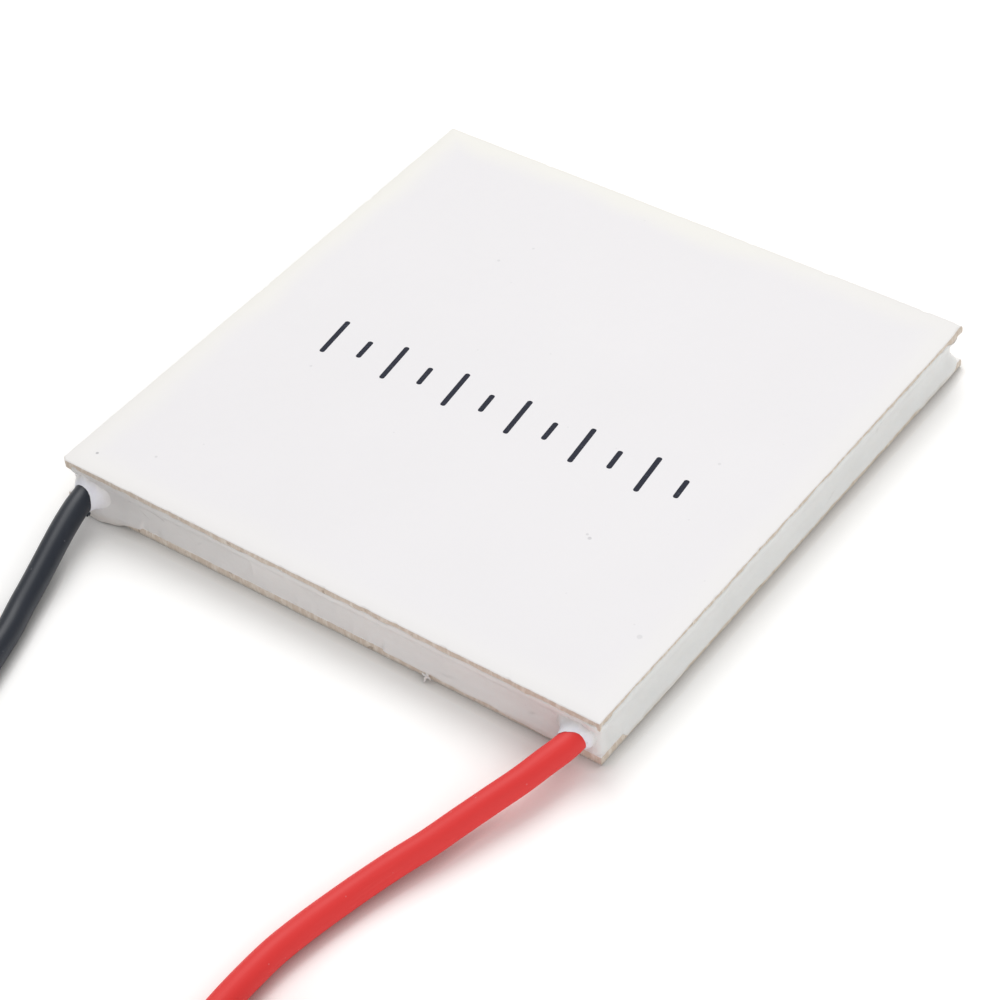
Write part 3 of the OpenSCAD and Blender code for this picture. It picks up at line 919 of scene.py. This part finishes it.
def makeSeal(s):
    low, high = (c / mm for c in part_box("perimeter_seal"))
    inner = high.x - s["width"]
    middle, half = (low.z + high.z) / 2, (high.z - low.z) / 2
    faceRows, smearRows = s["rows"], s["smearRows"]
    points, stain = [], []
    stations = sealStations(inner)
    for foot, out, side, place in stations:
        lowest = through(s["covers"][side], place) + 0.05 * rough(foot.x, foot.y, 5, 0.7)
        cover = ease((low.z - lowest) / 0.10)
        sharp = 0.08 if foot.x * foot.y > 0 else 0.30  # two corners are nearly sharp
        square = 1 + sharp * sin(2 * atan2(abs(out.y), abs(out.x))) ** 2
        lip = s["lip"][side] * (1 + 0.28 * rough(foot.x + out.x, foot.y + out.y, 4, 1.1))
        bare = ease((foot.x + foot.y + out.x + out.y - 37.3) / 1.4)  # a corner left short of silicone
        lip = max(0.02, lip * (1 - bare))
        flare = through(s["flare"], place) if side == "front" else 0
        ring = [(-s["width"], high.z), (-s["width"] * 0.5, high.z)]
        ring += [(s["setback"] + d, high.z + lip * t) for d, t in
                 ((-0.12, 1.0), (-0.03, 0.99), (0.012, 0.9), (0.022 - 0.05 * bare, 0.6),
                 (0.022 - 0.05 * bare, 0.3))]
        for i in range(faceRows):
            z = high.z - (high.z - low.z) * i / (faceRows - 1)
            arch = 1 - ((z - middle) / half) ** 2
            d = -(s["hollow"] + 0.16 * bare) * arch
            d += 0.028 * rough(foot.x + out.x, foot.y + out.y, z * 0.6, 3.0)
            d += 0.012 * rough(foot.x + out.x, foot.y + out.y, z, 0.7)
            for at, height, width, tall, stands in s["ridges"][side]:
                d += stands * hump(place, at, width) * hump(z, height, tall)
            d += cover * ease((low.z + 0.75 - z) / 0.75) * (s["setback"] + s["smear"])
            d += ease((z - high.z + 0.5) / 0.5) * (s["setback"] + 0.022) * (1 - bare)
            d += flare * max(0, 1 - z / 1.5) ** 2
            ring.append((d, z))
        reach = s["setback"] + s["smear"] * (1 + 0.5 * rough(foot.x, foot.y, 9, 0.9))
        bottom = max(0.015, lowest)
        for i in range(1, smearRows + 1):
            t = i / smearRows
            z = low.z + (bottom - low.z) * t
            down = (reach * (1 - ease((t - 0.55) / 0.45)) + 0.03 * ease((t - 0.6) / 0.4)
                    + flare * max(0, 1 - z / 1.5) ** 2, z)
            tucked = (-0.25 * t, low.z)
            ring.append([a + (b - a) * cover for a, b in zip(tucked, down)])
        ring += [(-0.35, low.z), (-s["width"], low.z)]
        for d, z in ring:
            reach = (s["width"] + d) * (square if d > -s["width"] else 1)
            points.append(foot + out * reach + Vector((0, 0, z)))
            value = 0
            for at, height, length, thick, slope, strength in s["stains"][side]:
                if abs(place - at) < 2:
                    fades = hump(place, at, length) * hump(z - slope * (place - at), height, thick)
                    value = max(value, strength * fades)
            stain.append(value)
    count = len(ring)
    faces = gridFaces(count, len(stations), True, True)
    piece = newPiece("rimSeal", points, faces, "seal", "seal_silicone", 60)
    addStain(piece, stain)
    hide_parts("perimeter_seal")


makeSeal(seal)
print("rim seal done")


# ---- dabs where the leads leave, and burrs ----

dabs = {  # how far the foot spreads, and how far the silicone climbs along the lead at each angle
    "black": {
        "left": 1.30, "right": 1.80, "up": 1.10, "down": 1.45, "streaks": [(100, 0.30, 14), (318, 0.45, 24)],
        "reach": [(0, 1.15), (45, 0.80), (90, 0.48), (130, 0.34), (180, 0.34), (235, 0.50), (280, 0.95),
                  (320, 1.35),
                  (360, 1.15)]},
    "red": {
        "left": 1.80, "right": 1.02, "up": 1.04, "down": 0.98, "streaks": [(150, 0.20, 14)],
        "reach": [(0, 0.30), (40, 0.30), (80, 0.48), (115, 0.95), (150, 1.05), (185, 0.70), (220, 0.32),
                  (270, 0.22),
                  (320, 0.24), (360, 0.30)]},
}


def makeDab(name, r, d):
    start, out = Vector(r["exit"]), -inward(r)
    across = Vector((0, 0, 1)).cross(out).normalized()
    around, rows = 96, 16
    points, near = [], []
    for i in range(rows):
        t = i / (rows - 1)  # from the foot in the seal to the rim on the lead
        for k in range(around):
            degrees = 360 * k / around
            a = radians(degrees)
            c, s = cos(a), sin(a)
            wide = d["right"] if c > 0 else d["left"]
            tall = d["up"] if s > 0 else d["down"]
            foot = 1 / hypot(c / wide, s / tall)
            for at, more, spread in d["streaks"]:
                foot += more * hump(min(abs(degrees - at), 360 - abs(degrees - at)), 0, spread)
            foot += 0.07 * rough(c * 2, s * 2, start.x, 0.9)
            height = foot * s
            sunk = 0.30 - 0.22 * ease((abs(height) - 0.45) / 0.6)
            base = Vector((start.x + foot * c, start.y + sunk, max(0.02, start.z + height)))
            rimReach = sum(through(d["reach"], (degrees + turn) % 360) for turn in (-24, -12, 0, 12, 24)) / 5
            rimReach *= 1 + 0.06 * rough(c * 1.5, s * 1.5, start.x + 4, 0.6)
            radial = across * c + Vector((0, 0, s))
            rim = start + out * rimReach + radial * (wireR + 0.012)
            bend = start + radial * (wireR + 0.20) + out * (0.10 * rimReach)
            spot = base * (1 - t) ** 2 + bend * (2 * t * (1 - t)) + rim * t ** 2
            lump = 0.025 * sin(pi * t) * rough(spot.x, spot.y, spot.z, 0.45)
            points.append(spot + out * lump)
            near.append(t)
    for back in (0.0, -0.35):  # tucked in round the lead, inside the seal
        for k in range(around):
            a = 2 * pi * k / around
            points.append(start + out * back + (across * cos(a) + Vector((0, 0, sin(a)))) * (wireR - 0.1))
            near.append(1)
    faces = gridFaces(around, rows + 2, True, True)
    piece = newPiece(name + "LeadDab", points, faces, "dab", "dab_silicone", 60)
    addStain(piece, near)
    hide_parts(name + "_lead_dab")


def makeBurr(name, stalks, finish, slot):  # small tapered tails left when the sealant was wiped
    points, faces = [], []
    for line, thick in stalks:
        line = evenCurve([Vector(p) for p in line], 0.05)
        first, sides = len(points), 8
        last = len(line) - 1

        def radius(i, a):
            return thick * (1 - 0.75 * (i / last) ** 2) * (1 + 0.3 * sin(a + i))

        points += tubeRings(line, sides, radius)
        faces += [tuple(k + first for k in f) for f in gridFaces(sides, len(line), True, False)]
        faces.append(tuple(first + k for k in range(sides)))
        faces.append(tuple(first + last * sides + k for k in range(sides)))
    newPiece(name, points, faces, finish, slot, 60)


for name, d in dabs.items():
    makeDab(name, routes[name], d)
makeBurr("sealBurr", [
    ([(7.95, -19.95, 0.50), (7.93, -20.12, 0.36), (7.90, -20.26, 0.20), (7.88, -20.36, 0.08)], 0.12),
    ([(7.94, -20.08, 0.38), (7.78, -20.12, 0.42), (7.62, -20.16, 0.50)], 0.08),
    ([(7.94, -20.08, 0.38), (8.12, -20.14, 0.34), (8.30, -20.22, 0.34)], 0.08)], "dab", "dab_silicone")
makeBurr("blackLeadBurr", [
    ([(-17.26, -21.15, 1.35), (-17.10, -21.27, 1.22), (-17.01, -21.35, 1.1)], 0.14),
    ([(-17.32, -20.98, 1.2), (-17.17, -21.04, 1.05),
      (-17.12, -21.13, 0.95)], 0.10)], "black", "black_insulation")
print("dabs and burrs done")


# ---- printed strokes on the cold plate: a plain scale of long and short ticks ----

ticks = {
    "at": (-12.9, -1.95),  # middle of the first stroke
    "count": 12,
    "pitch": 2.39,
    "tall": 3.3,
    "short": 1.7,
    "stroke": 0.36,
    "slant": radians(-6),
    "ink": 0.006,  # thickness
}


def strokeTree():
    t = Tree("strokeRow", {
        "Count": "Int", "Pitch": "Float", "Tall": "Float", "Short": "Float", "Stroke": "Float",
        "Slant": "Float", "Ink": "Float", "Material": "Material"})
    shapes = []
    for tall in ("Tall", "Short"):
        size = {"Width": t.input("Stroke"), "Height": t.input(tall)}
        box = t.node("CurvePrimitiveQuadrilateral", None, size)
        radius = t.sum("MULTIPLY", t.input("Stroke"), 0.42)
        fillet = {"Curve": box, "Count": 5, "Radius": radius}
        rounded = t.node("FilletCurve", {"mode": "POLY"}, fillet)
        flat = t.node("FillCurve", {"mode": "NGONS"}, {"Curve": rounded})
        thick = {"Mesh": flat, "Offset Scale": t.input("Ink")}
        shapes.append(t.node("ExtrudeMesh", None, thick))
    pair = t.node("GeometryToInstance", None, {0: shapes[::-1]})
    offset = t.node("ShaderNodeCombineXYZ", None, {0: t.input("Pitch")})
    row = t.node("MeshLine", None, {"Count": t.input("Count"), "Offset": offset})
    which = t.sum("FLOORED_MODULO", t.node("InputIndex"), 2.0)
    jitter = t.node("FunctionNodeRandomValue", {"data_type": "FLOAT"}, {"Seed": 11}, 1)
    stray = t.sum("MULTIPLY", t.sum("SUBTRACT", jitter, 0.5), 0.03)
    lean = t.sum("ADD", t.sum("MULTIPLY", t.input("Slant"), -1.0), stray)
    turn = t.node("ShaderNodeCombineXYZ", None, {2: lean})
    placed = t.node("InstanceOnPoints", None, {
        "Points": row, "Instance": pair, "Pick Instance": True, "Instance Index": which, "Rotation": turn})
    return t.finish(placed, t.input("Material"))


def makeStrokes(s):
    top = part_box("cold_plate")[1].z / mm
    mesh = grownMesh("printedStrokes", strokeTree(), s, "ink")
    place = Matrix.Translation((s["at"][0], s["at"][1], top))
    grownPiece("printedStrokes", mesh, place)


makeStrokes(ticks)
print("strokes done")


# ---- pieces inside, which keep their CAD shape ----

inside = [("tabs", "copper"), ("conductor", "copper"), ("solder", "solder"), ("p_pellets", "pPellet"),
          ("n_pellets", "nPellet")]
for nodeName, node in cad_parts.items():
    for part, finish in inside:
        if part in nodeName:
            node.data.materials.clear()
            node.data.materials.append(finishes[finish])
print("inside dressed")


# ---- floor, backdrop and lights ----

studio = {
    "reach": 3,  # m from the middle to the floor's edge
    "under": 0.01,  # mm, just clear of the hot plate's face
    "floor": (0.93, 0.93, 0.925),
    "floorSeen": (1.20, 1.195, 1.185),  # as the camera sees it, where 1 is white
    "sky": 0.56,
    "contact": {  # the shade close to the object: reach in mm, colour, and the shares of open sky it goes by
        "reach": 8.0, "dark": (0.92, 0.905, 0.885), "from": 0.46, "to": 0.92, "seam": 0.8, "deep": 0.66},
    "key": {"from": (-0.55, 0.85, 1.2), "strength": 1.38, "soft": 38},
    "fill": {"from": (0.85, -0.50, 0.30), "strength": 0.75, "soft": 60},
}


def makeFloor(s):
    mesh = bpy.data.meshes.new("floor")
    signs = [(-1, -1), (1, -1), (1, 1), (-1, 1)]
    square = [(x * s["reach"], y * s["reach"], -s["under"] * mm) for x, y in signs]
    mesh.from_pydata(square, [], [(0, 1, 2, 3)])
    floor = addObject("floor", mesh)
    f = Finish("floor")
    seen, glossy = (f.node("LightPath", None, None, ray) for ray in ("Is Camera Ray", "Is Glossy Ray"))
    lit = f.node("BsdfDiffuse", None, {"Color": s["floor"]})
    near = s["contact"]
    wide = f.node("AmbientOcclusion", {"samples": 4}, {"Distance": near["reach"] * mm}, "AO")
    tight = f.node("AmbientOcclusion", {"samples": 4}, {"Distance": near["seam"] * mm}, "AO")
    shade = f.mix(f.ramp(wide, near["from"], near["to"]), near["dark"], s["floorSeen"])
    shade = f.tint(shade, near["deep"] + f.ramp(tight, 0.5, 0.95) * (1 - near["deep"]))
    pale = f.node("BsdfDiffuse", None, {"Color": shade})
    f.finishWith(f.node("MixShader", None, {0: seen | glossy, 1: lit, 2: pale}))
    mesh.materials.append(f.material)


def makeSun(name, s):
    data = bpy.data.lights.new(name, "SUN")
    data.energy = s["strength"]
    data.angle = radians(s["soft"])
    sun = addObject(name, data)
    sun.rotation_euler = Vector(s["from"]).to_track_quat("Z", "Y").to_euler()


def makeSky(s):
    world = bpy.data.worlds.new("sky")
    world.use_nodes = True
    nodes, links = world.node_tree.nodes, world.node_tree.links
    nodes.clear()
    path = nodes.new("ShaderNodeLightPath")
    soft, white = nodes.new("ShaderNodeBackground"), nodes.new("ShaderNodeBackground")
    mix = nodes.new("ShaderNodeMixShader")
    soft.inputs["Strength"].default_value = s["sky"]
    for light in (soft, white):
        light.inputs["Color"].default_value = (1, 1, 1, 1)
    links.new(path.outputs["Is Camera Ray"], mix.inputs[0])
    links.new(soft.outputs[0], mix.inputs[1])
    links.new(white.outputs[0], mix.inputs[2])
    out = nodes.new("ShaderNodeOutputWorld")
    links.new(mix.outputs[0], out.inputs["Surface"])
    bpy.context.scene.world = world


makeFloor(studio)
makeSky(studio)
makeSun("key", studio["key"])
makeSun("fill", studio["fill"])
bpy.context.scene.view_settings.view_transform = "Standard"
print("studio ready")


# ---- corners of a box, rounded ----

def corners(box):
    return [[round(v, 6) for v in corner] for corner in box]
